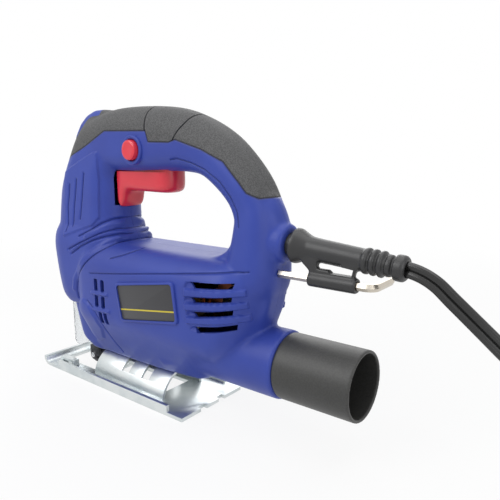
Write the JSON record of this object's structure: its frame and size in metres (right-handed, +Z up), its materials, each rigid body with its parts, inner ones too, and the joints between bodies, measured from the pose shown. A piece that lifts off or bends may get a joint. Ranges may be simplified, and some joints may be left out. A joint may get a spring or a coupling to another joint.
{
  "type": "jigsaw power tool",
  "caption": "Corded electric jigsaw with a closed top handle, tilting sole plate, reciprocating blade clamp, dust tube and stowed hex key.",
  "frame": {"origin": "on the underside of the sole plate, at the middle of the tool's box without its cord", "axes": "+Z up out of the sole, +X towards the cord and dust tube, -Y the side with the lock button"},
  "size_m": [0.685, 0.0664, 0.201],
  "materials": {
    "blue_shell": "fine satin texture",
    "grip_rubber": "fine grain, soft touch",
    "black_plastic": "fine satin texture",
    "red_plastic": "semi gloss",
    "white_plastic": "semi gloss",
    "clear_plastic": "clear",
    "label": "printed film, bare",
    "zinc_steel": "zinc plated sheet",
    "bright_steel": "ground",
    "dark_steel": "blackened",
    "spring_steel": "drawn wire",
    "laminations": "varnished stack",
    "copper": "enamelled wire",
    "brass": "turned",
    "carbon": "pressed carbon, dull",
    "cast_aluminium": "cast",
    "sintered_bronze": "porous",
    "cord_rubber": "smooth, slightly glossy"
  },
  "bodies": {
    "housing": {"housing_left": "blue_shell", "housing_right": "blue_shell", "grip_left": "grip_rubber", "grip_right": "grip_rubber", "name_plate": "label", "rating_plate": "label", "trigger_spring": "spring_steel", "switch_body": "black_plastic", "lock_spring": "spring_steel", "bevel_clamp": "zinc_steel", "bevel_screws": "dark_steel", "roller_pin": "bright_steel", "roller_bracket": "zinc_steel", "cord_relief": "cord_rubber", "cable_clamp": "black_plastic", "clamp_screws": "zinc_steel", "housing_screws": "dark_steel", "stator_core": "laminations", "field_coils": "copper", "air_baffle": "black_plastic", "front_bearing": "bright_steel", "rear_bearing": "bright_steel", "bearing_sleeve": "cord_rubber", "brush_holders": "brass", "brush_spring_left": "spring_steel", "brush_spring_right": "spring_steel", "gearbox_plate": "cast_aluminium", "gear_pin": "bright_steel", "upper_guide": "sintered_bronze", "lower_guide": "sintered_bronze", "capacitor": "label", "lead_wires": "copper", "cord_flex": "cord_rubber", "cord_coil": "cord_rubber", "coil_tie": "cord_rubber", "cord_tail": "cord_rubber", "plug_body": "cord_rubber", "plug_pins": "brass"},
    "sole": {"sole_plate": "zinc_steel", "bevel_saddle": "zinc_steel"},
    "trigger": {"trigger": "red_plastic", "switch_plunger": "white_plastic"},
    "lock_button": {"lock_button": "red_plastic"},
    "chip_shield": {"chip_shield": "clear_plastic"},
    "roller": {"guide_roller": "dark_steel"},
    "dust_adapter": {"dust_adapter": "black_plastic"},
    "hex_key": {"hex_key": "bright_steel"},
    "armature": {"armature_shaft": "bright_steel", "armature_core": "laminations", "armature_windings": "copper", "commutator": "copper", "cooling_fan": "white_plastic"},
    "gear": {"drive_gear": "dark_steel", "crank_pin": "bright_steel"},
    "plunger": {"plunger": "bright_steel", "plunger_yoke": "dark_steel", "blade_clamp": "dark_steel", "blade_screws": "dark_steel"},
    "brush_left": {"carbon_brush_left": "carbon"},
    "brush_right": {"carbon_brush_right": "carbon"}
  },
  "joints": [
    {"name": "sole_tilt", "type": "hinge", "parent": "housing", "child": "sole", "pos_m": [-0.054, 0, 0], "axis": [1, 0, 0], "range_deg": [-45, 45]},
    {"name": "armature_spin", "type": "hinge", "parent": "housing", "child": "armature", "pos_m": [-0.03, 0, 0.076], "axis": [1, 0, 0], "continuous": true},
    {"name": "gear_spin", "type": "hinge", "parent": "housing", "child": "gear", "pos_m": [-0.0977, 0, 0.1], "axis": [1, 0, 0], "continuous": true},
    {"name": "plunger_stroke", "type": "slide", "parent": "housing", "child": "plunger", "axis": [0, 0, 1], "range_m": [-0.009, 0.009]},
    {"name": "trigger_press", "type": "slide", "parent": "housing", "child": "trigger", "axis": [0, 0, 1], "range_m": [0, 0.006], "stiffness_N_per_m": 700, "springref_m": -0.003, "deforming": ["trigger_spring"]},
    {"name": "lock_press", "type": "slide", "parent": "housing", "child": "lock_button", "axis": [0, 1, 0], "range_m": [0, 0.003], "stiffness_N_per_m": 600, "springref_m": -0.003, "deforming": ["lock_spring"]},
    {"name": "roller_spin", "type": "hinge", "parent": "housing", "child": "roller", "pos_m": [-0.111, 0, 0.00825], "axis": [0, 1, 0], "continuous": true},
    {"name": "dust_adapter_pull", "type": "slide", "parent": "housing", "child": "dust_adapter", "axis": [1, 0, 0], "range_m": [0, 0.025]},
    {"name": "hex_key_pull", "type": "slide", "parent": "housing", "child": "hex_key", "axis": [1, 0, 0], "range_m": [0, 0.018]},
    {"name": "chip_shield_lift", "type": "slide", "parent": "housing", "child": "chip_shield", "axis": [0, 0, 1], "range_m": [0, 0.012]},
    {"name": "brush_left_feed", "type": "slide", "parent": "housing", "child": "brush_left", "axis": [0, -1, 0], "range_m": [0, 0.0015], "stiffness_N_per_m": 400, "springref_m": -0.004, "deforming": ["brush_spring_left"]},
    {"name": "brush_right_feed", "type": "slide", "parent": "housing", "child": "brush_right", "axis": [0, 1, 0], "range_m": [0, 0.0015], "stiffness_N_per_m": 400, "springref_m": -0.004, "deforming": ["brush_spring_right"]}
  ],
  "couplings": [
    {"joint": "gear_spin", "follows": "armature_spin", "ratio": -0.12281}
  ]
}
